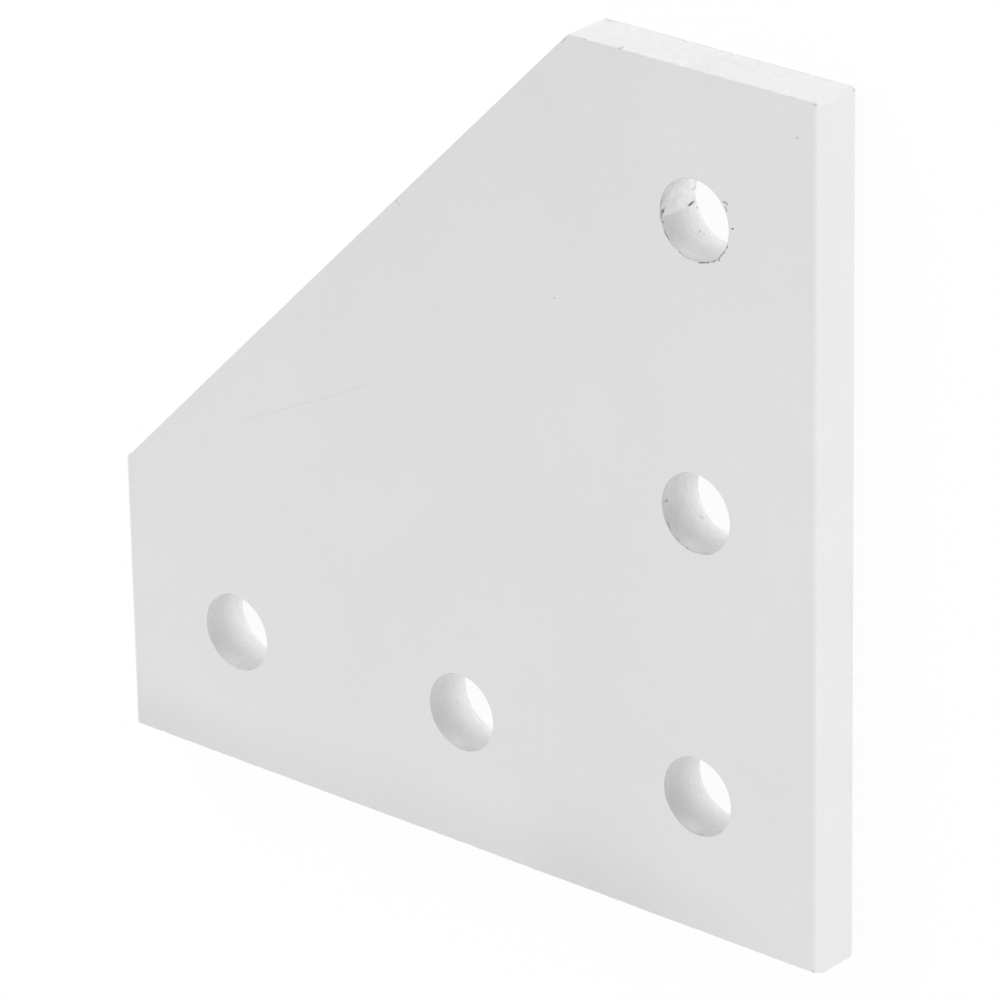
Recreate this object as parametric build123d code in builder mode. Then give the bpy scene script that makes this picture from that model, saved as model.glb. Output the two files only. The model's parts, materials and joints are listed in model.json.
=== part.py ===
from build123d import *
import os

# Corner joining plate for slotted aluminium framing.
#
# The plate is one length sawn from a flat extruded bar. The bar runs along Y, so
# its two long edges, at the lowest and the highest X, keep the rounding of the
# extrusion, and its two sawn ends are square. One corner is then cut off at 45
# degrees, and a bolt hole is drilled over the slot of each rail that the plate
# joins: one at the corner, the rest along a side leg (+Y) and a cross leg (-X).
#
# The origin is on the axis of the corner hole, in the face that bears on the
# rails. +Z points out of the plate, towards the bolt heads. Sizes are in
# millimetres.

# Hole pattern
slot_pitch = 20.0  # from one hole to the next along a leg
holes_per_leg = 3  # counting the corner hole, which both legs share
bolt_hole_diameter = 5.5  # clearance for a 5 mm bolt

# Flat bar
bar_thickness = 3.8
bar_edge_radius = 0.7  # rounding that the extrusion leaves on its long edges

# Metal left around the hole pattern
side_margin = 10.0  # from the side leg's holes to the bar edge at +X
cross_end_margin = 10.0  # from the cross leg's end hole to the bar edge at -X
side_end_margin = 10.0  # from the side leg's end hole to the sawn end at +Y
heel_margin = 9.7  # from the cross leg's holes to the sawn end at -Y
clip_margin = 14.2  # from either end hole, square across to the 45 degree cut

# Worked out from the sizes above
leg_reach = (holes_per_leg - 1) * slot_pitch
bar_width = cross_end_margin + leg_reach + side_margin
bar_centre_x = side_margin - bar_width / 2
sawn_length = heel_margin + leg_reach + side_end_margin
clipped_corner_x = -leg_reach - cross_end_margin
clipped_corner_y = leg_reach + side_end_margin
clip_height = leg_reach + clip_margin * 2**0.5  # where the cut's line crosses X = 0

side_leg_holes = [(0, step * slot_pitch) for step in range(1, holes_per_leg)]
cross_leg_holes = [(-step * slot_pitch, 0) for step in range(1, holes_per_leg)]

with BuildPart() as joining_plate:
    # The bar: a flat section with rounded long edges, from sawn end to sawn end.
    with BuildSketch(Plane.XZ.offset(heel_margin)):
        with Locations((bar_centre_x, bar_thickness / 2)):
            RectangleRounded(bar_width, bar_thickness, bar_edge_radius)
    extrude(amount=-sawn_length)

    # The cut across the corner that neither leg uses.
    with BuildSketch(Plane.XY):
        with BuildLine():
            Polyline(
                (clipped_corner_x, clipped_corner_y),
                (clipped_corner_x, clipped_corner_x + clip_height),
                (clipped_corner_y - clip_height, clipped_corner_y),
                close=True,
            )
        make_face()
    extrude(amount=bar_thickness, mode=Mode.SUBTRACT)

    # The bolt holes, square through the plate.
    with Locations((0, 0), *side_leg_holes, *cross_leg_holes):
        Hole(bolt_hole_diameter / 2)

joining_plate.part.label = "joining_plate"

os.makedirs("parts", exist_ok=True)
export_step(joining_plate.part, "parts/joining_plate.step")
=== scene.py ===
# %% [markdown]
# # A corner joining plate for slotted aluminium framing
#
# The real plate is one flat piece of aluminium. It starts as an extruded flat bar, is sawn to length, has
# one corner sawn off at 45 degrees, is drilled five times and is anodised without a dye. Two framing rails
# meet behind it, and a bolt through each hole pulls it down onto their slots.
#
# The solid model already has the true size and place of every surface. This script keeps all of that and
# adds what the tools left behind: the broken edges, the saw's tooth marks, the torn wall of one badly
# drilled hole, a scratch, a few dents, and the finish of the metal.
#
# Every length below is in millimetres, because that is how a maker thinks of such a part. `MM` turns them
# into Blender's metres at the last moment.

# %% Load the frame
import json
import math
import random

import bmesh
import bpy
from mathutils import Matrix, Vector, noise
from mathutils.geometry import delaunay_2d_cdt


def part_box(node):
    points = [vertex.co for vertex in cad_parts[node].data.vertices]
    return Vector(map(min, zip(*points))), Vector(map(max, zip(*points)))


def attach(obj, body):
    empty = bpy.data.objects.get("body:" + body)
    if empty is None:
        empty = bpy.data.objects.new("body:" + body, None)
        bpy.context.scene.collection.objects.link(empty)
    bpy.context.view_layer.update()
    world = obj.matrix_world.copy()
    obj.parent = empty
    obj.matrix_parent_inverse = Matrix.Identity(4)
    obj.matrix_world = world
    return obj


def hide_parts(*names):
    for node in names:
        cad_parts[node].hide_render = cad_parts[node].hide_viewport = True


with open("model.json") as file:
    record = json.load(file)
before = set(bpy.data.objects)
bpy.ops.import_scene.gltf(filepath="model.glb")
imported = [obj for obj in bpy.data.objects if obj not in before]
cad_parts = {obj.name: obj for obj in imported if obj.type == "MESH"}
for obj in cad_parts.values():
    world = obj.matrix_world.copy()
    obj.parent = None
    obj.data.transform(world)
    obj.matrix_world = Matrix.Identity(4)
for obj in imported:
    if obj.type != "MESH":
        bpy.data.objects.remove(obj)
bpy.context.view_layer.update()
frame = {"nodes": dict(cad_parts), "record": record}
MM = 0.001

# %% [markdown]
# ## Measure the solid
#
# Nothing is measured twice. The outline, the place of the clipped corner and the rounding that the
# extrusion die left on the bar's two long edges are all read from the solid, and the holes are read from
# its list of mounts. If the solid changes, the finished plate changes with it.
#
# The flat part of the top face stops where the rounding starts, so the distance from there to the side of
# the box is the radius of the rounding. The clipped corner is the highest point on the left side and the
# leftmost point on the far side.

# %% Read the sizes
NEAR = 0.001  # two places closer than this count as one
low, high = (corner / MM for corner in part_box("joining_plate"))
solid_points = [v.co / MM for v in frame["nodes"]["joining_plate"].data.vertices]
bar_thickness = high.z - low.z
edge_rounding = high.x - max(p.x for p in solid_points if p.z > high.z - NEAR)
clip_y = max(p.y for p in solid_points if p.x < low.x + NEAR)
clip_x = min(p.x for p in solid_points if p.y > high.y - NEAR)
bores = {
    mount["name"]: (Vector(mount["pos_m"][:2]) / MM, mount["dims"]["r_mm"])
    for mount in frame["record"]["mounts"]
    if mount["kind"] == "bore"
}
print(f"bar {high.x - low.x:.1f} x {bar_thickness:.1f} mm, cut {high.y - low.y:.1f} mm long")
print(f"edges rounded {edge_rounding:.2f} mm, corner clipped from y {clip_y:.2f} to x {clip_x:.2f}")
print("holes:", {name: tuple(round(c, 2) for c in centre) for name, (centre, radius) in bores.items()})

# %% [markdown]
# ## Slice the thickness into levels
#
# The edge of the plate is built as a stack of closed outlines, one per level, from the front face down to
# the back face. A few levels would do for the straight middle, but the rounded edges need a curve, so the
# levels crowd together near both faces.
#
# Equal steps of angle round the quarter circle give just the right crowding: the first levels lie microns
# below the face, where the curve is flattest. The same fine levels later serve the tiny broken edges of the
# saw cuts and of the holes.


# %% Levels and the quarter-round
def quarter_round(depth, radius):
    """How far a rounded edge steps back at this depth below the face."""
    if depth >= radius:
        return 0.0
    return radius - math.sqrt(radius**2 - (radius - depth) ** 2)


ARC_STEPS = 12
MIDDLE_STEPS = 16
near_face = [edge_rounding * (1 - math.cos(math.pi / 2 * i / ARC_STEPS)) for i in range(ARC_STEPS)]
middle_drop = (bar_thickness - 2 * edge_rounding) / MIDDLE_STEPS
middle = [edge_rounding + middle_drop * i for i in range(MIDDLE_STEPS + 1)]
far_face = [bar_thickness - depth for depth in reversed(near_face)]
depths = near_face + middle + far_face
print(f"{len(depths)} levels, the first step is {near_face[1] * 1000:.0f} microns")

# %% [markdown]
# ## The five sides and how each was made
#
# Two of the sides are the bar's own edges. They came out of the die rounded and straight, and nothing has
# touched them since, so they need few columns of vertices. The other three sides were sawn. There the
# surface changes all along, so the columns stand a fifth of a millimetre apart, and closer at the end of
# the side leg.
#
# Only the bar's edges step back near the faces, which moves the corners along x. The clipped side runs at
# 45 degrees, so its lower corner moves as far in y as it does in x.
#
# The bar's edges get a few extra columns close to their ends, so that the marks at the sawn corners stay
# small.


# %% The outline at one level
def points(*pairs, origin=Vector((0, 0))):
    """Pairs of x and y as points, measured from an origin."""
    return [origin + Vector(pair) for pair in pairs]


def corners_at(step_back):
    """The five corners, anticlockwise from the heel, where the bar's edges step back this far."""
    left, right = low.x + step_back, high.x - step_back
    far = ((right, high.y), (clip_x, high.y), (left, clip_y + step_back))
    return points((left, low.y), (right, low.y), *far)


sides = ["heel", "long edge", "leg end", "clip", "short edge"]
spacing = {"heel": 0.19, "leg end": 0.12, "clip": 0.19}
EDGE_SPACING = 1.0
NEAR_THE_ENDS = (0.06, 0.13, 0.22, 0.36)
columns = []
for number, side in enumerate(sides):
    start, end = corners_at(0)[number], corners_at(0)[(number + 1) % len(sides)]
    length = (end - start).length
    count = round(length / spacing.get(side, EDGE_SPACING))
    shares = [i / count for i in range(count + 1)]
    if side not in spacing:
        shares += [near / length for near in NEAR_THE_ENDS] + [1 - near / length for near in NEAR_THE_ENDS]
    columns.append(sorted(shares))

# %% [markdown]
# ## What the saw leaves
#
# A saw cut differs from a drawn line in two ways. Its surface carries the path of the teeth: fine arcs that
# lean across the thickness, with a patch here and there where the blade dragged and tore. And its rim is
# never perfectly sharp: it is broken by a hundredth of a millimetre or so, with a nick where the plate was
# knocked, and a thin patchy line of painted shade follows it. The heel's rim was broken most.
#
# The saw also wanders. Where the clipped side meets the cross leg it came out a little inside the line. On
# the end of the side leg it smeared the metal in short leaning strokes, and where it left that side it tore
# the middle of the corner down.
#
# All of this comes from smooth noise and bell curves at the point's own place on the plate, so neighbouring
# points always agree and no table of heights is needed. Everything is cut inwards, so the plate never grows
# past its true size.

# %% Saw marks and broken rims
SAW_LINE_DEPTH, SAW_LINES_PER_MM, SAW_LINE_BEND = 0.012, 3.4, 0.02
DRAG_DEPTH, TEARS_PER_MM, TEAR_BEND = 0.050, 2.6, 0.09
# Where the blade dragged: a point on the cut and how far the patch reaches to each side.
dragged = [(Vector((-0.6, 50.0)), 3.4), (Vector((-21.0, -9.7)), 5.0), (Vector((-36.0, 24.1)), 4.5)]
# The smear on the end of the side leg: its middle in x, its reach, how dark, and the strokes in it.
SMEAR_AT, SMEAR_REACH, SMEAR_DARKNESS = 1.1, 2.9, 0.08
STROKES_PER_MM, STROKE_LEAN = 4.5, 0.75
HEART_DEPTH, HEART_LEAN, HEART_SHARE = 0.8, 0.35, 0.42
# How far the saw tore the corner down, and how far it cut inside the line of the clip, each with its reach.
SAW_EXIT_DROP, SAW_EXIT_REACH = 0.18, 0.7
CLIP_WANDER, WANDER_LENGTH = 0.07, 17.0
rim_breaks = {"heel": 0.070, "leg end": 0.003, "clip": 0.010}
# How dark the painted shade along each sawn rim is: beside the front face, and beside the back face.
rim_shades = {"heel": (0.32, 0.10), "leg end": (0.22, 0.07), "clip": (0.12, 0.10)}
SHADE_REACH = 0.17
# Knocks on the rims of the saw cuts: x, y, depth below the front face, half width, reach, how dark.
nicks = [
    (-8.66, 50.0, 0.05, 0.11, 0.04, 0.52),
    (-5.95, 50.0, 0.10, 0.14, 0.04, 0.48),
    (-5.93, 50.0, 0.30, 0.11, 0.03, 0.32),
    (-5.95, 50.0, 0.50, 0.10, 0.02, 0.26),
    (9.45, 50.0, 0.08, 0.17, 0.08, 0.30),
    (9.86, 50.0, 3.55, 0.17, 0.08, 0.32),
    (2.85, 50.0, 0.38, 0.11, 0.01, 0.14),
    (6.80, 50.0, 1.20, 0.11, 0.01, 0.08),
    (9.40, -9.7, 0.06, 0.20, 0.05, 0.28),
    (-9.6, 50.0, 3.75, 0.40, 0.04, 0.16),
    (-3.60, 50.0, 3.75, 0.22, 0.05, 0.17),
    (0.15, 50.0, 3.75, 0.22, 0.05, 0.13),
    (-47.2, -9.7, 0.0, 0.14, 0.03, 0.20),
]


def bell(*distances, steep=1):
    """1 in the middle, fading all round. Distances are in bell widths. A steep bell has a flat top."""
    return math.exp(-(sum(distance**2 for distance in distances) ** steep))


def rough(x, y, layer):
    """Smooth noise between -1 and 1, in bumps about 1 across. Layers that lie far apart don't look alike."""
    return noise.noise(Vector((x, y, layer)))


def saw_marks(point, along, height):
    """How deep the saw's teeth cut past the true surface here."""
    swing = along - SAW_LINE_BEND * (height + 5) ** 2
    lines = 0.5 + 0.5 * rough(swing * SAW_LINES_PER_MM, height * 0.30, point.y * 0.05)
    curve = along + TEAR_BEND * (height - 1.4) ** 2
    tears = 0.5 + 0.5 * rough(curve * TEARS_PER_MM, height * 0.7, 8.1)
    patch = sum(bell((point - place).length / reach, steep=2) for place, reach in dragged)
    return SAW_LINE_DEPTH * lines + DRAG_DEPTH * patch * tears**2


def broken_rim(side, point, on_front):
    """The radius of the broken rim here."""
    uneven = rough(point.x * 0.9, point.y * 0.9, 5.0 if on_front else 9.0)
    return rim_breaks[side] * (1 + 0.7 * uneven)


def saw_exit(point, from_face):
    """How far the saw tore this place down where it left the end of the side leg."""
    from_middle = 1 - from_face / (bar_thickness / 2)
    away = (point - high.xy).length / SAW_EXIT_REACH
    return SAW_EXIT_DROP * (1 - from_middle**2) * bell(away)


def rim_shade(point, from_face, reach, strength):
    """How dark the painted shade beside a broken rim is: patchy, and only just below the face."""
    if not 0 < from_face < reach:
        return 0.0
    patchy = 0.8 + 0.9 * rough(point.x * 1.6, point.y * 1.6, 12.0)
    return strength * max(0.2, patchy) * (1 - (from_face / reach) ** 2)


def smeared(point, depth):
    """How dark the smear on the end of the side leg is: leaning strokes and a dark heart."""
    strokes = rough((point.x + STROKE_LEAN * depth) * STROKES_PER_MM, depth, 3.0)
    patch = bell((point.x - SMEAR_AT) / SMEAR_REACH, steep=2)
    heart = bell((point.x - HEART_LEAN * (depth - 1)) / 0.7, (depth - HEART_DEPTH) / 1.3)
    return SMEAR_DARKNESS * (patch * max(0.0, strokes) + HEART_SHARE * heart)


def nick_at(point, depth):
    """How deep a knock reaches here, and how dark it is."""
    reach, dark = 0.0, 0.0
    for *place, half_width, how_deep, how_dark in nicks:
        share = bell((Vector((point.x, point.y, depth)) - Vector(place)).length / half_width, steep=2)
        reach += how_deep * share
        dark = max(dark, how_dark * share)
    return reach, dark


# %% [markdown]
# ## Build the skirt
#
# Now the edge of the plate can be woven: a ring of vertices for every level, and a quad between each pair
# of neighbours. Each side stops a hair short of the corner, which leaves a narrow facet there, because a
# sawn corner is never a perfect knife edge either.
#
# Every vertex also stores a number called `dirt_and_shade`. It is 0 on clean metal and rises towards 1 at
# the bottom of a nick, where swarf and oxide collect. It also carries painted shade along the rims, down one
# side of each hole wall and in crevices and hollows. The materials read it later.

# %% Weave the skirt
CORNER_BREAK = 0.04
FACE, SAWN, DRILLED, TORN = range(4)
plate_mesh = bmesh.new()
dirt_and_shade = plate_mesh.verts.layers.float.new("dirt_and_shade")


def add_vertex(x, y, depth, darkness=0.0):
    """A vertex of the plate, given in millimetres and by its depth below the front face."""
    vertex = plate_mesh.verts.new(Vector((x, y, high.z - depth)) * MM)
    vertex[dirt_and_shade] = darkness
    return vertex


def add_face(vertices, finish):
    """A face of the plate with one of the four finishes."""
    face = plate_mesh.faces.new(vertices)
    face.material_index = finish
    face.smooth = True


def side_at(number, depth):
    """The points of one side at one level, each with its darkness."""
    from_face = min(depth, bar_thickness - depth)
    on_front = depth < bar_thickness / 2
    corners = corners_at(quarter_round(from_face, edge_rounding))
    start, end = corners[number], corners[(number + 1) % len(corners)]
    direction = (end - start).normalized()
    inward = Vector((-direction.y, direction.x))
    side = sides[number]
    reach = (end - start).length - 2 * CORNER_BREAK
    if side == "long edge":
        reach -= saw_exit(end, from_face)
    for share in columns[number]:
        point = start + direction * (CORNER_BREAK + reach * share)
        step = 0.0
        knocked_in, dark = nick_at(point, depth)  # beside a nick the bar's own edge only gets dark
        if side in spacing:
            step = knocked_in + quarter_round(from_face, broken_rim(side, point, on_front))
            step += saw_marks(point, point.dot(direction), high.z - depth)
            # A thin patchy line of painted shade follows the sawn rim.
            shade = rim_shades[side][0 if on_front else 1]
            dark = max(dark, rim_shade(point, from_face, SHADE_REACH, shade))
        if side == "leg end":
            step += saw_exit(point, from_face)
            dark = max(dark, smeared(point, depth))
        if side == "clip":
            step += CLIP_WANDER * max(0.0, 1 - (end - point).length / WANDER_LENGTH)
        yield point + inward * step, dark if from_face else 0.0


side_of_column = [side for side, shares in zip(sides, columns) for _ in shares]
rings = []
for depth in depths:
    ring = []
    for number in range(len(sides)):
        ring += [add_vertex(p.x, p.y, depth, dark) for p, dark in side_at(number, depth)]
    rings.append(ring)

for upper, lower in zip(rings, rings[1:]):
    for i, side in enumerate(side_of_column):
        j = (i + 1) % len(upper)
        untouched = side == side_of_column[j] and side not in spacing
        add_face([upper[i], lower[i], lower[j], upper[j]], FACE if untouched else SAWN)
print(f"skirt: {len(rings)} rings of {len(rings[0])} vertices")

# %% [markdown]
# ## What the drill leaves
#
# A drilled wall is nearly a cylinder. The drill wanders by a hundredth of a millimetre as it goes down,
# which breaks up the one clean stripe of light that a perfect cylinder would catch. The deburring tool then
# broke the back rims by a quarter of a millimetre and hardly touched the front ones. A thin line of painted
# shade follows the front rims, more of it on the side leg than on the cross leg.
#
# One side of every hole wall is painted a shade darker, most of all near the front face.
#
# One hole went wrong. At the end of the side leg the drill grabbed: a third of the wall is torn out in
# flakes, its border runs down the hole like a step, a deep gash lies beside that step, and part of the rim
# is ragged where slivers broke away. The other marks are small: pits, and burrs that the drill left close
# below the rims. The gash, the pits and the ragged rim carry painted shade in their hollows, and the burrs
# a painted shadow below them.
#
# Each mark is a place on the wall, given as an angle round the hole (0 along +x, anticlockwise) and a depth
# below the front face. Its profile is a bell curve, so it blends into the wall. A positive depth digs into
# the wall and a negative one stands out of it, as a burr does.

# %% Marks on the hole walls
# angle, depth, half width round the hole, half height down it, lean, how deep it digs, how dark its painted
# shade is
wall_marks = {
    "side_leg_end_bore": [
        (191.2, 3.14, 0.060, 0.31, -0.15, 0.12, 0.95),
        (189.6, 2.66, 0.10, 0.13, -0.3, 0.03, 0.18),
        (182.6, 0.28, 0.13, 0.15, 0.3, -0.05, 0.80),
        (180.6, 0.48, 0.06, 0.13, -0.35, 0.02, 0.48),
        (185.4, 0.22, 0.14, 0.06, 0.0, 0.03, 0.62),
        (189.0, 0.11, 0.14, 0.06, 0.0, 0.02, 0.48),
        (169.0, 0.13, 0.30, 0.08, 0.0, 0.03, 0.36),
        (197.5, 0.21, 0.08, 0.09, 0.0, 0.04, 0.58),
        (211.8, 0.06, 0.14, 0.06, 0.0, 0.03, 0.48),
        (217.8, 0.09, 0.34, 0.06, 0.1, 0.03, 0.48),
        (219.0, 0.27, 0.26, 0.03, 0.1, 0.02, 0.15),
        (243.4, 0.12, 0.08, 0.08, 0.0, 0.04, 0.48),
        (228.9, 2.85, 0.09, 0.10, 0.0, 0.03, 0.50),
        (235.0, 2.90, 0.08, 0.09, 0.0, 0.03, 0.40),
        (172.0, 3.45, 0.10, 0.22, -0.3, 0.03, 0.20),
        (198.4, 3.58, 0.08, 0.18, -0.3, 0.03, 0.30),
        (147.0, 2.45, 0.14, 0.12, 0.0, 0.02, 0.22),
    ],
    "side_leg_inner_bore": [
        (180.5, 0.44, 0.080, 0.17, 0.35, 0.04, 0.66),
        (212.9, 0.12, 0.33, 0.07, 0.0, 0.03, 0.46),
        (235.4, 0.11, 0.18, 0.07, 0.0, 0.03, 0.44),
        (244.6, 0.08, 0.10, 0.05, 0.0, 0.03, 0.38),
        (252.2, 0.11, 0.13, 0.06, 0.0, 0.03, 0.56),
        (265.0, 0.12, 0.20, 0.06, 0.0, 0.03, 0.28),
        (222.8, 1.99, 0.15, 0.09, 0.0, 0.02, 0.22),
        (222.8, 3.05, 0.12, 0.13, 0.6, 0.03, 0.30),
        (246.9, 2.59, 0.09, 0.14, 0.0, 0.03, 0.24),
        (243.0, 3.00, 0.08, 0.12, 0.0, 0.03, 0.22),
    ],
    "cross_leg_inner_bore": [(201.8, 2.45, 0.11, 0.11, 0.0, 0.05, 0.25)],
}
# The torn part of the wall and of the rim, from one angle to another, how deep, and how dark the rim's
# painted shade is.
TORN_HOLE = "side_leg_end_bore"
TORN_FROM, TORN_TO, TORN_DEPTH, TORN_RAMP = 84.0, 190.0, 0.05, 1.6
RAGGED_FROM, RAGGED_TO, RAGGED_DEPTH, RAGGED_DARKNESS = 274.0, 344.0, 0.26, 0.35
# Slivers missing from the ragged rim: angle, half width in degrees, how far out they reach, how dark their
# painted shade is.
slivers = [
    (283.0, 9.0, 0.07, 0.75),
    (292.0, 4.0, 0.09, 0.68),
    (304.0, 7.0, 0.15, 0.62),
    (312.0, 4.5, 0.26, 0.55),
    (327.0, 3.5, 0.16, 0.40),
    (336.0, 7.0, 0.17, 0.50),
]
# The least that is missing between the slivers, before and after the angle where the tear gets deeper.
DEEPER_FROM, LEAST_MISSING, LEAST_MISSING_DEEPER = 300.0, 0.05, 0.11
RAGGED_RAMP = 3.0
FRONT_RIM, BACK_RIM = 0.008, 0.23
# The unevenness of a sound wall and of a torn one: the height of the bumps, and how many there are per mm.
wander_layers = ((0.008, 0.8), (0.004, 2.6))
flake_layers = ((0.04, 1.1), (0.016, 3.1))
# How dark the line of painted shade along each hole's front rim is.
rim_shade_of_hole = {
    "corner_bore": 0.14,
    "side_leg_inner_bore": 0.20,
    "side_leg_end_bore": 0.20,
    "cross_leg_inner_bore": 0.04,
    "cross_leg_end_bore": 0.01,
}
# Where the painted shade on every front rim is darker than elsewhere: angle, half width in degrees, how
# much.
shaded_arcs = [(104.0, 16.0, 0.10), (300.0, 17.0, 0.15)]
# Where the front rims are worn, with a line of painted shade: angle, half width in degrees, how wide the
# wear is, how dark.
WORN_AND_SHADED_AT, WORN_AND_SHADED_HALF, WORN_WIDTH, WORN_RIM_SHADE = 106.0, 14.0, 0.022, 0.45
# The painted shade on one side begins between two angles, ends over a quarter turn, and fades out at a
# depth.
WALL_SHADE_FROM, WALL_SHADE_TO, WALL_SHADE_END, WALL_SHADE_DEPTH, WALL_SHADE_DARKNESS = 147.0, 211.0, 90.0, 3.5, 0.155
# Where that painted shade is stronger or weaker: angle, half width in degrees, depth, half height, how much
# darker.
wall_shade_patches = [
    (155.0, 28.0, 2.8, 1.6, 0.10),
    (205.0, 22.0, 0.4, 0.8, 0.025),
    (252.0, 18.0, 0.35, 0.9, -0.10),
    (285.0, 20.0, 1.0, 1.0, -0.042),
]
torn_hole_shade_patch = (243.0, 20.0, 1.2, 1.8, -0.055)
wall_shade_of_hole = {"corner_bore": 1.18, "side_leg_inner_bore": 1.18, "cross_leg_end_bore": 0.9}


def wrap(angle):
    """An angle in degrees brought between -180 and 180."""
    return (angle + 180) % 360 - 180


def around(angle, reach=1.0):
    """The point at this angle and this far out from an axis."""
    return Vector((math.cos(math.radians(angle)), math.sin(math.radians(angle)))) * reach


def painted_wall_shade(name, angle, depth):
    """How dark the painted shade on one side of a wall is. It starts gently, and fades towards the back
    face.
    """
    past_start = wrap(angle - WALL_SHADE_FROM) % 360
    rising = min(1.0, past_start / (WALL_SHADE_TO - WALL_SHADE_FROM))
    falling = min(1.0, (360 - past_start) / WALL_SHADE_END)
    share = rising * rising * (3 - 2 * rising) * falling
    dark = WALL_SHADE_DARKNESS * share * max(0.0, 1 - (depth / WALL_SHADE_DEPTH) ** 4)
    patches = wall_shade_patches + ([torn_hole_shade_patch] if name == TORN_HOLE else [])
    for at, half, at_depth, half_height, much in patches:
        dark += much * bell(wrap(angle - at) / half, (depth - at_depth) / half_height)
    return max(0.0, dark) * wall_shade_of_hole.get(name, 1.0)


def torn_share(name, angle, depth):
    """1 where the drill tore the wall, 0 on sound metal, with a short ramp between."""
    if name != TORN_HOLE:
        return 0.0
    jagged = 1.2 * rough(depth * 1.7, 0.0, 2.0) + 3.5 * min(1.0, depth / 1.5)
    edge = min(wrap(angle - TORN_FROM), wrap(TORN_TO + jagged - angle))
    return min(1.0, max(0.0, edge / TORN_RAMP))


def layered(place, shift, layers):
    """Noise made of layers of bumps, each given by its height and by how many there are per millimetre."""
    return sum(height * noise.noise(place * per_mm + shift) for height, per_mm in layers)


def wall_relief(name, angle, depth, radius):
    """How far the wall lies outside the true cylinder here, and how dark it is."""
    place = Vector((*around(angle, radius), depth))
    seed = 10.0 * list(bores).index(name)
    shift = Vector((seed, seed, 0))
    relief = layered(place, shift, wander_layers)
    torn = torn_share(name, angle, depth)
    # One side of the wall gets painted shade, but not where it is torn.
    dark = (1 - torn) * painted_wall_shade(name, angle, depth)
    torn *= min(1.0, depth / 1.2) ** 2
    if torn:
        relief += torn * (TORN_DEPTH + layered(place, shift, flake_layers))
    # A mark's darkness is painted shade in its hollow, or below it where it is a burr.
    for at_angle, at_depth, half_width, half_height, lean, dig, darkness in wall_marks.get(name, []):
        down = depth - at_depth
        side = math.radians(wrap(angle - at_angle)) * radius - lean * down
        share = bell(side / half_width, down / half_height, steep=2)
        relief += dig * share
        dark = max(dark, darkness * share)
    return relief, dark


def ragged_rim(angle, turn):
    """How much of the ragged rim is missing here, and how dark its painted shade is. `turn` is the angle as
    a direction.
    """
    missing, dark = 0.0, RAGGED_DARKNESS
    for at, half, reach, darkness in slivers:
        share = bell(wrap(angle - at) / half)
        missing = max(missing, share * reach)
        dark = max(dark, share * darkness)
    least = LEAST_MISSING if angle < DEEPER_FROM else LEAST_MISSING_DEEPER
    missing = max(least, missing + 0.03 * noise.noise(turn * 25))
    return missing, dark + 0.05 * noise.noise(turn * 14)


def hole_rim(name, angle, on_front):
    """The radius of a hole's broken rim, and how dark its painted shade is where it is worn or torn."""
    turn = around(angle).to_3d()
    seed = Vector((0, 0, 4.0 * list(bores).index(name) + (0 if on_front else 2)))
    radius = (FRONT_RIM if on_front else BACK_RIM) * (1 + 0.5 * noise.noise(turn * 3 + seed))
    if not on_front:
        return radius, 0.0
    inside = min(wrap(angle - RAGGED_FROM), wrap(RAGGED_TO - angle)) / RAGGED_RAMP
    ragged = min(1.0, max(0.0, inside)) * (name == TORN_HOLE)
    if ragged:
        missing, dark = ragged_rim(angle, turn)
        return radius + ragged * missing, ragged * dark
    worn_and_shaded = bell(wrap(angle - WORN_AND_SHADED_AT) / WORN_AND_SHADED_HALF)
    return radius + WORN_WIDTH * worn_and_shaded, WORN_RIM_SHADE * worn_and_shaded


def arc_shade(name, angle):
    """How dark the painted shade is on this part of a hole's front rim."""
    arcs = sum(much * bell(wrap(angle - at) / half) for at, half, much in shaded_arcs)
    return rim_shade_of_hole[name] + arcs


# %% [markdown]
# ## Line the holes
#
# A hole is woven like the skirt, from rings of vertices at the same levels, with its faces turned the other
# way so that they look at the axis. The torn hole gets twice the columns of the others, because its gash is
# only a tenth of a millimetre wide. Right at the faces `dirt_and_shade` goes back to 0, or it would spread
# over the large triangles of the face.

# %% Weave the hole walls
HOLE_COLUMNS, TORN_HOLE_COLUMNS = 168, 360
hole_rings = {}
for name, (centre, radius) in bores.items():
    steps = TORN_HOLE_COLUMNS if name == TORN_HOLE else HOLE_COLUMNS
    rows = []
    for depth in depths:
        from_face = min(depth, bar_thickness - depth)
        row = []
        for i in range(steps):
            angle = 360 * i / steps
            rim, ragged = hole_rim(name, angle, depth < bar_thickness / 2)
            relief, dark = wall_relief(name, angle, depth, radius)
            reach = radius + quarter_round(from_face, rim) + relief
            x, y = centre + around(angle, reach)
            # Painted shade: in the crevice of the ragged rim, in the worn line, and in a thin line along
            # every front rim.
            if depth < RAGGED_DEPTH:
                dark = max(dark, ragged * (1 - (depth / RAGGED_DEPTH) ** 2))
            rim_line_shade = rim_shade(Vector((x, y)), depth, SHADE_REACH, arc_shade(name, angle) + dark)
            row.append(add_vertex(x, y, depth, max(dark, rim_line_shade) if from_face else 0.0))
        rows.append(row)
    for depth, upper, lower in zip(depths, rows, rows[1:]):
        for i in range(steps):
            j = (i + 1) % steps
            torn = torn_share(name, 360 * (i + 0.5) / steps, depth) > 0.5
            add_face([upper[j], lower[j], lower[i], upper[i]], TORN if torn else DRILLED)
    hole_rings[name] = rows
print("hole walls:", {name: len(rows[0]) for name, rows in hole_rings.items()})

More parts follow.
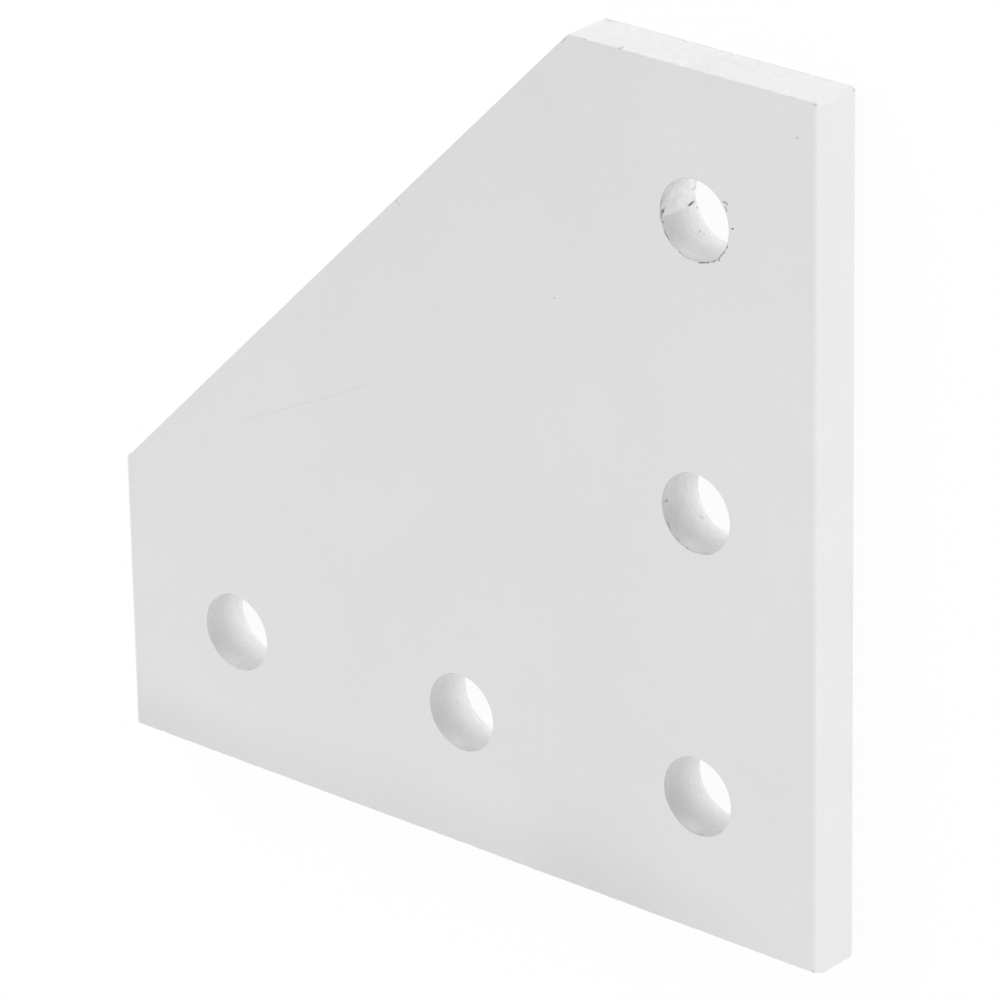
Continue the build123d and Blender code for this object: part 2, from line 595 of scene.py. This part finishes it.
# %% [markdown]
# ## Dents and scratches in the faces
#
# A small dent could be painted on, but a painted dent looks flat from the side and is lost when the plate
# is exported. Here each one is a real hollow. It starts as a closed loop of vertices in the face, and a
# second, smaller loop and a centre point below it make the bowl.
#
# A scratch is the same idea drawn out: two banks that lie in the face, and two lines between them that run
# below it and hold a flat floor. It is a tenth of a millimetre wide, comes and goes along its way, and
# tapers to a point at each end. Dents and scratches are also painted darker towards their bottoms, as
# shade in the hollow.

# %% Bowls and grooves
BOWL_POINTS = 12
bowl_loops = ((1.0, 0.0), (0.6, 0.7))  # share of the radius, share of the depth
FLOOR_SHARE = 0.45
TAPER = 1 / 7


def dent(x, y, radius, sink, darkness, front=True):
    """A round hollow in a face. Returns the loop of vertices where it meets the face."""
    face_depth, sign = (0.0, 1) if front else (bar_thickness, -1)
    loops = []
    for share, down in bowl_loops:
        loop = []
        for i in range(BOWL_POINTS):
            turn = around(360 * i / BOWL_POINTS)
            wobble = 1 + 0.25 * rough(x * 7 + turn.x, y * 7 + turn.y, 1.0)
            place = Vector((x, y)) + turn * radius * share * wobble
            # Painted shade, darker further down the bowl.
            loop.append(add_vertex(*place, face_depth + sign * sink * down, darkness * down))
        loops.append(loop)
    bottom = add_vertex(x, y, face_depth + sign * sink, darkness)
    for i in range(BOWL_POINTS):
        j = (i + 1) % BOWL_POINTS
        add_face([loops[0][i], loops[0][j], loops[1][j], loops[1][i]], FACE)
        add_face([loops[1][i], loops[1][j], bottom], FACE)
    return loops[0]


def groove(path, width, sink, darkness):
    """A scratch along a path of points in the front face. Returns its loop of vertices in the face."""
    lines = {share: [] for share in (1.0, FLOOR_SHARE, -FLOOR_SHARE, -1.0)}
    for i, point in enumerate(path[1:-1], start=1):
        across = (path[i + 1] - path[i - 1]).normalized()
        across = Vector((-across.y, across.x))
        strength = min(1.0, min(i, len(path) - 1 - i) / (TAPER * len(path)))
        strength *= 0.75 + 0.5 * rough(point.x * 1.3, point.y * 1.3, 6.0)
        for share, line in lines.items():
            place = point + across * width / 2 * strength * share
            down = 0.0 if abs(share) == 1.0 else strength
            # The floor lines carry painted shade.
            line.append(add_vertex(*place, sink * down, darkness * down))
    left, left_floor, right_floor, right = lines.values()
    first, last = add_vertex(*path[0], 0.0), add_vertex(*path[-1], 0.0)
    for one, other in ((left_floor, left), (right_floor, left_floor), (right, right_floor)):
        for i in range(len(one) - 1):
            add_face([one[i], one[i + 1], other[i + 1], other[i]], FACE)
        add_face([first, one[0], other[0]], FACE)
        add_face([last, other[-1], one[-1]], FACE)
    return [first] + right + [last] + left[::-1]


def smooth_path(points, pieces):
    """Points along a curve that passes through the given ones, `pieces` per stretch."""
    path = []
    for i in range(len(points) - 1):
        before, here, there, after = (points[max(0, min(len(points) - 1, i + k))] for k in (-1, 0, 1, 2))
        for step in range(pieces):
            t = step / pieces
            straight = 2 * here + (there - before) * t
            bend = (2 * before - 5 * here + 4 * there - after) * t**2
            twist = (3 * here - before - 3 * there + after) * t**3
            path.append((straight + bend + twist) / 2)
    return path + [points[-1]]


# %% [markdown]
# ## Where the wear is
#
# The marks that show best are placed one by one. The torn hole has two curled gouges and a pit beside it.
# There is one long scratch, a short one with specks round it near the clipped side, and the line of a burr
# just inside that side's rim. Small dents follow the heel, where the plate was set down.
#
# The rest are faint handling dents. A seeded random generator scatters those, so every run gives the same
# plate, and a candidate is dropped where it would touch a hole, a rim or another mark.

# %% Place the wear
hole_at = bores[TORN_HOLE][0]
scratch = points((-40.2, 15.35), (-36.0, 17.35), (-32.2, 19.2), (-29.8, 20.38), (-25.2, 22.75))
long_curl = points((2.25, 1.78), (2.41, 1.82), (2.56, 1.78), (2.72, 1.60), origin=hole_at)
short_curl = points((2.42, 1.58), (2.53, 1.42), (2.61, 1.20), origin=hole_at)
pit = points((2.91, 0.17), (3.03, 0.19), (3.16, 0.22), origin=hole_at)
clip_scratch = points((-24.57, 35.15), (-24.50, 35.10), (-24.42, 35.04))
clip_burr = points((-10.62, 49.28), (-10.33, 49.58), (-10.10, 49.80))
# the way of the groove, pieces per stretch, width, depth, darkness of its painted shade
grooves = [
    (scratch, 10, 0.10, 0.015, 0.09),
    (long_curl, 5, 0.20, 0.03, 0.85),
    (short_curl, 5, 0.15, 0.02, 0.70),
    (pit, 4, 0.16, 0.03, 0.68),
    (clip_scratch, 4, 0.16, 0.01, 0.34),
    (clip_burr, 5, 0.09, 0.02, 0.30),
]
front_loops = [groove(smooth_path(way, pieces), *values) for way, pieces, *values in grooves]
# x, y, radius, depth, darkness of its painted shade
front_dents = [
    (8.14, 47.46, 0.08, 0.02, 0.6),
    (-11.45, 31.84, 0.08, 0.02, 0.35),
    (-24.66, 35.22, 0.075, 0.01, 0.55),
    (-24.34, 34.98, 0.065, 0.01, 0.42),
    (-23.79, 36.00, 0.055, 0.01, 0.36),
    (-24.21, 35.67, 0.050, 0.01, 0.25),
    (-25.52, 34.36, 0.055, 0.01, 0.40),
    (-26.23, 33.65, 0.050, 0.01, 0.32),
    (7.17, 33.82, 0.06, 0.012, 0.25),
    (8.85, 10.25, 0.06, 0.012, 0.25),
    (-1.12, 47.96, 0.05, 0.012, 0.25),
    (2.84, 20.44, 0.035, 0.01, 0.30),
    (-2.49, 18.37, 0.040, 0.01, 0.20),
    (-46.7, -9.34, 0.050, 0.01, 0.25),
    (-40.8, -9.36, 0.050, 0.01, 0.25),
    (-32.45, -9.27, 0.050, 0.01, 0.22),
    (-22.9, -9.25, 0.050, 0.01, 0.22),
    (-14.1, -9.35, 0.045, 0.01, 0.25),
]
back_dents = []
FRONT_COUNT, BACK_COUNT = 40, 60
# How far a scattered dent keeps from the other marks, the rims, the heel and the gouges.
FREE, FROM_RIM, FROM_HEEL, FROM_GOUGES = 0.5, 1.2, 0.6, 1.5
DENT_RADII, DENT_SHADES, DENT_DEPTH = (0.025, 0.055), (0.03, 0.15), 0.2
spread = random.Random(11)


def clear_of_everything(x, y, radius, others):
    """True where a dent stands free of the outline, the holes, the scratch and the other dents."""
    point = Vector((x, y))
    room = radius + FREE
    inside = low.x + FROM_RIM < x < high.x - FROM_RIM
    inside = inside and low.y + FROM_HEEL < y < high.y - FROM_HEEL
    inside = inside and y - x < clip_y - low.x - FROM_RIM
    off_holes = all((point - centre).length > bore + room for centre, bore in bores.values())
    off_gouges = (point - long_curl[0]).length > FROM_GOUGES
    off_scratch = all((point - place).length > room for place in smooth_path(scratch, 12))
    off_others = all((point - Vector(other[:2])).length > room for other in others)
    return inside and off_holes and off_gouges and off_scratch and off_others


for dents, wanted in ((front_dents, FRONT_COUNT), (back_dents, BACK_COUNT)):
    while len(dents) < wanted:
        x, y = spread.uniform(low.x, high.x), spread.uniform(low.y, high.y)
        radius = spread.uniform(*DENT_RADII)
        if clear_of_everything(x, y, radius, dents):
            dents.append((x, y, radius, radius * DENT_DEPTH, spread.uniform(*DENT_SHADES)))
front_loops += [dent(*values) for values in front_dents]
back_loops = [dent(*values, front=False) for values in back_dents]
print(f"{len(front_dents)} dents in front, {len(back_dents)} behind, {len(front_loops)} loops in front")

# %% [markdown]
# ## Close the two faces
#
# Each face is a flat sheet with openings: the rims of the holes, and the loops of the dents and scratches.
# A triangulator that accepts fixed edges fills what is left between them. It is given every loop, leaves
# the insides of the openings alone, and reuses the vertices that are already there, so the plate comes out
# as one closed skin. The edges round the openings are kept crisp.

# %% Fill the faces
OUTSIDE_THE_OPENINGS = 2  # the triangulator's name for this is "inside with holes"
SAME_POINT = 1e-6


def close_face(loops, front):
    """Fill a flat face between its outline, which comes first, and its openings."""
    vertices = []
    rims = []
    for loop in loops:
        rims.append(range(len(vertices), len(vertices) + len(loop)))
        vertices += loop
    openings = [list(reversed(rim)) for rim in rims[1:]]
    flat = [vertex.co.xy / MM for vertex in vertices]
    sheet = [list(rims[0])] + openings
    made = delaunay_2d_cdt(flat, [], sheet, OUTSIDE_THE_OPENINGS, SAME_POINT)
    triangles, origin = made[2], made[3]
    for triangle in triangles:
        corners = [vertices[origin[i][0]] for i in triangle]
        add_face(corners if front else corners[::-1], FACE)
    for loop in loops[1:]:
        for here, there in zip(loop, loop[1:] + loop[:1]):
            plate_mesh.edges.get((here, there)).smooth = False
    return len(triangles)


front_count = close_face([rings[0]] + [rows[0] for rows in hole_rings.values()] + front_loops, True)
back_count = close_face([rings[-1]] + [rows[-1] for rows in hole_rings.values()] + back_loops, False)
open_edges = sum(1 for edge in plate_mesh.edges if len(edge.link_faces) != 2)
print(f"{front_count} triangles in front, {back_count} behind, {open_edges} open edges")

# %% [markdown]
# ## From mesh to object
#
# The rounded edges should shade as one curve and the sawn rims should stay crisp. Edges that turn more than
# 35 degrees are marked sharp, and a Weighted Normal modifier lets the large flat faces decide the shading
# of the vertices that they share with small ones. Without it the faces would look faintly puffed near the
# rounding.
#
# The piece stands for the imported solid, which is hidden, and rides on its body.

# %% Make the plate
SHARP_TURN = math.radians(35)
bmesh.ops.recalc_face_normals(plate_mesh, faces=plate_mesh.faces)
for edge in plate_mesh.edges:
    one, other = edge.link_faces
    if one.material_index != other.material_index or edge.calc_face_angle() > SHARP_TURN:
        edge.smooth = False
mesh = bpy.data.meshes.new("plate")
plate_mesh.to_mesh(mesh)
plate_mesh.free()
plate = bpy.data.objects.new("plate", mesh)
bpy.context.scene.collection.objects.link(plate)
shading = plate.modifiers.new("flat faces decide", "WEIGHTED_NORMAL")
shading.keep_sharp = True
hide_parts("joining_plate")
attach(plate, "root")
mesh.calc_loop_triangles()
print(f"plate: {len(mesh.vertices)} vertices, {len(mesh.loop_triangles)} triangles")

# %% [markdown]
# ## A small kit for the finishes
#
# All four finishes are bare or anodised aluminium, so they share a recipe: a metallic shader whose colour,
# roughness and fine relief each come from noise in the plate's own coordinates. Those coordinates are in
# metres, so a grain of a tenth of a millimetre needs a scale of about ten thousand.
#
# Anodising scatters light, which makes the metal look pale and even, and hides mirror images. That is a
# roughness near one half.


# %% Node helpers
def feed(value, socket):
    """Give a socket a plain value, or a link where the value comes from another node."""
    if isinstance(value, bpy.types.NodeSocket):
        socket.id_data.links.new(value, socket)
    else:
        socket.default_value = value


def add_node(tree, kind, **settings):
    """A shader node. Settings name its sockets or, in lower case, its options."""
    made = tree.nodes.new("ShaderNode" + kind)
    for name, value in settings.items():
        if name[0].isupper():
            feed(value, made.inputs[name.replace("_", " ")])
        else:
            setattr(made, name, value)
    return made


def grain(place, size, stretch=(1, 1, 1), detail=2.0):
    """Noise with features about `size` millimetres across, stretched along an axis by small factors."""
    scale = [factor / (size * MM) for factor in stretch]
    tree = place.id_data
    scaled = add_node(tree, "Mapping", Vector=place, Scale=scale).outputs["Vector"]
    speckle = add_node(tree, "TexNoise", Vector=scaled, Scale=1.0, Detail=detail, Roughness=0.6)
    return speckle.outputs["Fac"]


def between(value, first, last, start=0.3, end=0.7, kind="LINEAR"):
    """Turn a value that runs from start to end into one that runs from first to last."""
    ramp = add_node(value.id_data, "MapRange", Value=value, interpolation_type=kind)
    for socket, number in zip(ramp.inputs[1:5], (start, end, first, last)):
        socket.default_value = number
    return ramp.outputs["Result"]


def combine(operation, first, second):
    """One Math node between two values. The second may be a plain number."""
    math_node = add_node(first.id_data, "Math", operation=operation)
    feed(first, math_node.inputs[0])
    feed(second, math_node.inputs[1])
    return math_node.outputs["Value"]


def product(value, *others):
    """Several values multiplied together."""
    for other in others:
        value = combine("MULTIPLY", value, other)
    return value


def total(value, *others):
    """Several values added up."""
    for other in others:
        value = combine("ADD", value, other)
    return value


def apart(value, other):
    """How far apart two values are, whichever is the larger."""
    return combine("ABSOLUTE", combine("SUBTRACT", value, other), 0.0)


def along(coordinate, start, end, first, last, kind="SMOOTHSTEP"):
    """A value that goes from first to last where a coordinate goes from start to end, in millimetres."""
    return between(coordinate, first, last, start * MM, end * MM, kind)


def axes_of(place):
    """The x, y and z of a place."""
    return add_node(place.id_data, "SeparateXYZ", Vector=place).outputs


# %% [markdown]
# ## The metal
#
# One function lays out the shader, and each finish passes in how bright the metal is at every point. Bright
# aluminium reflects all colours nearly alike, so the colour is a plain grey of that brightness.
#
# The `dirt_and_shade` that the mesh stores pulls the brightness down in nicks and tears, along the rims and
# on one side of each hole wall. That is what makes a real tear read as dark: painted shade where little
# light gets out of it, and swarf that sticks in it.


# %% Metal from brightness, roughness and relief
FULL_DIRT_AND_SHADE, LEFT_UNDER_DIRT_AND_SHADE = 0.8, 0.25  # from this much dirt and painted shade on, this share of the brightness is left


def metal(name, paint):
    """A metallic material. `paint` turns a place into brightness, roughness, relief and relief height."""
    material = bpy.data.materials.new(name)
    material.use_nodes = True
    tree = material.node_tree
    place = add_node(tree, "TexCoord").outputs["Object"]
    brightness, roughness, relief, height = paint(place)
    # Dirt and painted shade, stored on the vertices, darken the metal.
    dirt_and_shade_level = add_node(tree, "Attribute", attribute_name="dirt_and_shade").outputs["Fac"]
    clean_and_lit = between(dirt_and_shade_level, 1.0, LEFT_UNDER_DIRT_AND_SHADE, start=0.0, end=FULL_DIRT_AND_SHADE)
    brightness = product(brightness, clean_and_lit)
    grey = add_node(tree, "CombineColor", Red=brightness, Green=brightness, Blue=brightness)
    bump = add_node(tree, "Bump", Strength=1.0, Distance=height * MM, Height=relief)
    shader = tree.nodes["Principled BSDF"]
    feed(1.0, shader.inputs["Metallic"])
    feed(grey.outputs["Color"], shader.inputs["Base Color"])
    feed(roughness, shader.inputs["Roughness"])
    feed(bump.outputs["Normal"], shader.inputs["Normal"])
    return material


# %% [markdown]
# ## Finish 1: anodised face
#
# Before anodising, the faces were etched matt in caustic, which leaves a grain of about a tenth of a
# millimetre and wipes out most of the die's lengthwise lines. Both stay in the recipe, the lines very
# faintly, along y as the bar ran through the die. A mottle and a slow cloud of one percent keep the large
# face from looking like plastic, and slow drifts of painted light and shade, a percent or two, run over it.
#
# Towards the heel the face is painted a shade darker, and a spot of painted shade lies beside the corner
# hole. The rounded long edges get painted light and are brighter, a little less so near the heel.

# %% Anodised face
FACE_BRIGHTNESS = 0.71
# The band of painted shade along the heel: how dark, how wide, and how many times darker at its left end.
HEEL_SHADE, HEEL_BAND, LEFT_TIMES = 0.042, 5.0, 1.8
# The spot of painted shade: where its middle is in x, how dark, and how far it reaches up the face.
SHADE_SPOT_X, SHADE_SPOT_DARKNESS, SHADE_SPOT_REACH = -8.3, 0.042, 9.0
# The drifts of painted light and shade: up the side leg, along the cross leg, down the middle of the side
# leg, and beside the clip.
LEG_DRIFT, HEEL_DRIFT, MIDDLE_DRIFT, CLIP_DRIFT = 0.0185, 0.022, (0.020, 0.004), -0.012
LEG_MIDDLE = 25.0
# The painted light on the rounded edges: how much brighter, and how much of that is lost at the heel.
EDGE_PAINTED_LIGHT, EDGE_LOSS_AT_HEEL = 0.2245, 0.024


def heel_shade(x, y):
    """How much darker the painted shade makes the band along the heel and the spot beside it."""
    heel_band_shade = product(
        along(y, low.y, low.y + HEEL_BAND, HEEL_SHADE, 0.0),
        along(x, 0.0, high.x - 1, 1.0, 0.0),
        along(x, low.x, -28.0, LEFT_TIMES, 1.0),
    )
    shade_spot = product(
        along(apart(x, SHADE_SPOT_X * MM), 1.5, 8.5, SHADE_SPOT_DARKNESS, 0.0),
        along(y, low.y + 0.5, low.y + SHADE_SPOT_REACH, 1.0, 0.0),
    )
    return total(heel_band_shade, shade_spot)


def painted_drift(x, y):
    """How much brighter or darker the slow drifts of painted light and shade make the face."""
    up_the_leg = along(y, low.y, high.y, LEG_DRIFT, -LEG_DRIFT, kind="LINEAR")
    along_heel = along(x, low.x, -22.0, HEEL_DRIFT, 0.0)
    off_middle = apart(y, LEG_MIDDLE * MM)
    down_the_leg = along(off_middle, 4.0, 18.0, *MIDDLE_DRIFT)
    down_the_leg = product(down_the_leg, along(x, -8.0, 2.0, 0.0, 1.0))
    clip_line = clip_y - low.x
    by_the_clip = along(combine("SUBTRACT", y, x), clip_line - 9, clip_line, 0.0, CLIP_DRIFT)
    return total(up_the_leg, along_heel, down_the_leg, by_the_clip)


def anodised(place):
    """The finish of the etched and anodised faces."""
    fine = grain(place, 0.16, detail=3.0)
    cloud = grain(place, 9.0, detail=6.0)
    mottle = grain(place, 0.6, detail=3.0)
    die_lines = grain(place, 0.5, stretch=(1, 0.01, 1))
    x, y, _ = axes_of(place)
    # The painted shade along the heel is taken off the cloud.
    shaded = combine("SUBTRACT", between(cloud, 0.989, 1.011), heel_shade(x, y))
    off_middle = apart(x, (low.x + high.x) / 2 * MM)
    flat_reach = (high.x - low.x) / 2 - edge_rounding
    # The rounded edges get painted light, the flat gets the painted drifts.
    edge_light = along(y, low.y, low.y + 20, EDGE_PAINTED_LIGHT - EDGE_LOSS_AT_HEEL, EDGE_PAINTED_LIGHT, kind="LINEAR")
    on_edge = along(off_middle, flat_reach + 0.05, flat_reach + 0.45, 0.0, 1.0)
    tree = place.id_data
    change = add_node(tree, "Mix", data_type="FLOAT", Factor=on_edge, A=painted_drift(x, y), B=edge_light)
    brightness = product(
        shaded,
        total(change.outputs["Result"], 1.0),
        between(fine, 0.988, 1.012),
        between(mottle, 0.9955, 1.0045),
        between(die_lines, 0.998, 1.002),
        FACE_BRIGHTNESS,
    )
    return brightness, between(fine, 0.46, 0.54), fine, 0.004


# %% [markdown]
# ## Finish 2: sawn end
#
# The saw cuts fresh metal, which is brighter than the etched face and sparkles where the teeth left small
# facets. The mesh already has the tooth lines. The material adds their finest part, which runs across the
# thickness, and blotches where the metal smeared.

# %% Sawn end
SAWN_BRIGHTNESS = 0.862


def sawn(place):
    """The finish of the sawn ends."""
    teeth = grain(place, 0.30, stretch=(1, 1, 0.15), detail=3.0)
    smears = grain(place, 0.55, detail=4.0)
    blotches = between(smears, 0.972, 1.024)
    brightness = product(blotches, between(teeth, 0.986, 1.014), SAWN_BRIGHTNESS)
    return brightness, between(smears, 0.40, 0.58), teeth, 0.008


# %% [markdown]
# ## Finish 3: drilled wall
#
# The drill's lips leave fine rings down the hole, a tenth of a millimetre apart, and drag chips over them.
# So the relief is noise squeezed along z, and the brightness has mottles that lie along the rings. The wall
# is painted a shade darker towards the front face, as shade inside the hole.
#
# When the holes up the side leg were drilled the flutes had clogged, and the chips scuffed their walls.

# %% Drilled wall
WALL_AT_BACK, WALL_AT_FRONT = 0.95, 0.83
SCUFFS_AT_CORNER, SCUFFS_UP_THE_LEG = 0.03, 0.18


def drilled(place):
    """The finish of the drilled walls."""
    fine_rings = grain(place, 1.2, stretch=(1, 1, 9), detail=3.0)
    mottle = grain(place, 0.5, stretch=(1, 1, 1.8), detail=3.0)
    _, y, z = axes_of(place)
    # Painted shade, darker towards the front face.
    shade = along(z, low.z + 0.9, low.z + 2.8, WALL_AT_BACK, WALL_AT_FRONT)
    scuffs = combine("SUBTRACT", grain(place, 0.20, detail=3.0), 0.5)
    clogged = along(y, 6.0, 20.0, SCUFFS_AT_CORNER, SCUFFS_UP_THE_LEG, kind="LINEAR")
    brightness = product(
        between(mottle, 0.95, 1.04),
        between(fine_rings, 0.99, 1.01),
        shade,
        total(product(scuffs, clogged), 1.0),
    )
    return brightness, between(mottle, 0.55, 0.68), fine_rings, 0.006


# %% [markdown]
# ## Finish 4: torn metal
#
# Where the drill grabbed, the wall broke in flakes like wet plaster. The fresh break scatters light in all
# directions and looks paler than the painted shade on the wall beside it. It is painted a shade darker
# towards the front face, so it is a little less pale there.

# %% Torn metal
TORN_AT_BACK, TORN_AT_FRONT = 0.95, 0.81


def torn_wall(place):
    """The finish of the torn wall."""
    flakes = grain(place, 0.60, detail=4.0)
    crumbs = grain(place, 0.14, detail=3.0)
    _, _, z = axes_of(place)
    # Painted shade, darker towards the front face.
    shade = along(z, low.z + 1.2, high.z, TORN_AT_BACK, TORN_AT_FRONT, kind="LINEAR")
    brightness = product(between(flakes, 0.91, 1.06), between(crumbs, 0.93, 1.06), shade)
    return brightness, between(crumbs, 0.55, 0.75), flakes, 0.009


finishes = [
    metal("anodised_face", anodised),
    metal("sawn_end", sawn),
    metal("drilled_wall", drilled),
    metal("torn_metal", torn_wall),
]
for finish in finishes:
    mesh.materials.append(finish)
    print(f"finish {finish.name}: {len(finish.node_tree.nodes)} nodes")

# %% [markdown]
# ## The floor
#
# The plate lies as it would come to rest, on its rail face, on a plain white floor. A white floor that is
# only lit comes out grey beside a lamp's own white, and turning up the lamps would burn out the metal. So
# most of what the eye and the metal see of the floor is plain white emission. The rest is lit paint, which
# keeps the plate's soft shadow and is all that diffusely scattered light sees.

# %% Floor
FLOOR_REACH, FLOOR_GAP = 1500.0, 0.02
PAINT_WHITE, GLOW_SHARE = 0.90, 0.92
floor_mesh = bmesh.new()
bmesh.ops.create_grid(floor_mesh, x_segments=8, y_segments=8, size=FLOOR_REACH * MM)
floor_data = bpy.data.meshes.new("floor")
floor_mesh.to_mesh(floor_data)
floor_mesh.free()
floor = bpy.data.objects.new("floor", floor_data)
floor.location.z = (low.z - FLOOR_GAP) * MM
bpy.context.scene.collection.objects.link(floor)

paper = bpy.data.materials.new("white_paper")
paper.use_nodes = True
tree = paper.node_tree
tree.nodes.clear()
paint = add_node(tree, "BsdfDiffuse", Color=(PAINT_WHITE, PAINT_WHITE, PAINT_WHITE, 1))
glow = add_node(tree, "Emission", Color=(1, 1, 1, 1), Strength=1.0)
rays = add_node(tree, "LightPath")
seen = combine("MAXIMUM", rays.outputs["Is Camera Ray"], rays.outputs["Is Glossy Ray"])
seen = combine("MAXIMUM", seen, rays.outputs["Is Transmission Ray"])
blend = add_node(tree, "MixShader", Fac=product(seen, GLOW_SHARE))
feed(paint.outputs["BSDF"], blend.inputs[1])
feed(glow.outputs["Emission"], blend.inputs[2])
add_node(tree, "OutputMaterial", Surface=blend.outputs["Shader"])
floor_data.materials.append(paper)

# %% [markdown]
# ## Soft studio light
#
# The room is an even white, a hair below full strength, and does nearly all the work. Two large soft panels
# only lean the light a little. A very weak one hangs high overhead. The other stands beyond the clipped
# corner, so the sawn end of the side leg comes out a little brighter.

# %% World and panels
ROOM_LIGHT = 0.981
world = bpy.data.worlds.new("white_room")
bpy.context.scene.world = world
world.use_nodes = True
tree = world.node_tree
backdrop = tree.nodes["Background"]
feed((1, 1, 1, 1), backdrop.inputs["Color"])
rays = add_node(tree, "LightPath")
strength = between(rays.outputs["Is Camera Ray"], ROOM_LIGHT, 1.0, start=0.0, end=1.0)
feed(strength, backdrop.inputs["Strength"])


def soft_panel(name, place, target, size, watts):
    """A square area lamp at a place in millimetres, turned to its target."""
    data = bpy.data.lights.new(name, "AREA")
    data.shape = "SQUARE"
    data.size = size * MM
    data.energy = watts
    lamp = bpy.data.objects.new(name, data)
    lamp.location = Vector(place) * MM
    lamp.rotation_euler = (Vector(target) - Vector(place)).to_track_quat("-Z", "Y").to_euler()
    bpy.context.scene.collection.objects.link(lamp)


plate_middle = (low + high) / 2
soft_panel("overhead_panel", (-260, -120, 620), plate_middle, size=420, watts=0.1)
soft_panel("side_panel", (-560, 840, 480), plate_middle, size=500, watts=3.0)

# %% [markdown]
# ## The camera
#
# The camera looks down on the plate through a long lens. It stands beside the side leg, a little towards
# that leg's sawn end, and is turned so that the leg stands upright in the picture. Its place is a point on
# the front face, a direction and a distance. The turn is the small angle that the leg is off the upright.

# %% Camera
AIM = Vector((-16.30, 16.43, high.z))
DISTANCE = 464.56
AZIMUTH, ELEVATION, TURN = (math.radians(angle) for angle in (34.63, 43.76, -1.04))
LENS = 258.08

level = math.cos(ELEVATION)
away = Vector((math.cos(AZIMUTH) * level, math.sin(AZIMUTH) * level, math.sin(ELEVATION)))
leg_direction = Vector((0, 1, 0))
right = leg_direction.cross(away).normalized()
upright = away.cross(right)
upright = Matrix.Rotation(TURN, 3, away) @ upright
right = upright.cross(away)
camera_data = bpy.data.cameras.new("camera")
camera_data.lens = LENS
camera = bpy.data.objects.new("camera", camera_data)
pose = Matrix((right, upright, away)).transposed().to_4x4()
pose.translation = (AIM + away * DISTANCE) * MM
camera.matrix_world = pose
bpy.context.scene.collection.objects.link(camera)
bpy.context.scene.camera = camera
print("camera at", [round(value / MM, 1) for value in camera.location], "mm")

# %% [markdown]
# ## Hand over
#
# The view transform stays plain, so that a colour leaves the renderer as it was written.

# %% Finish
bpy.context.scene.view_settings.view_transform = "Standard"
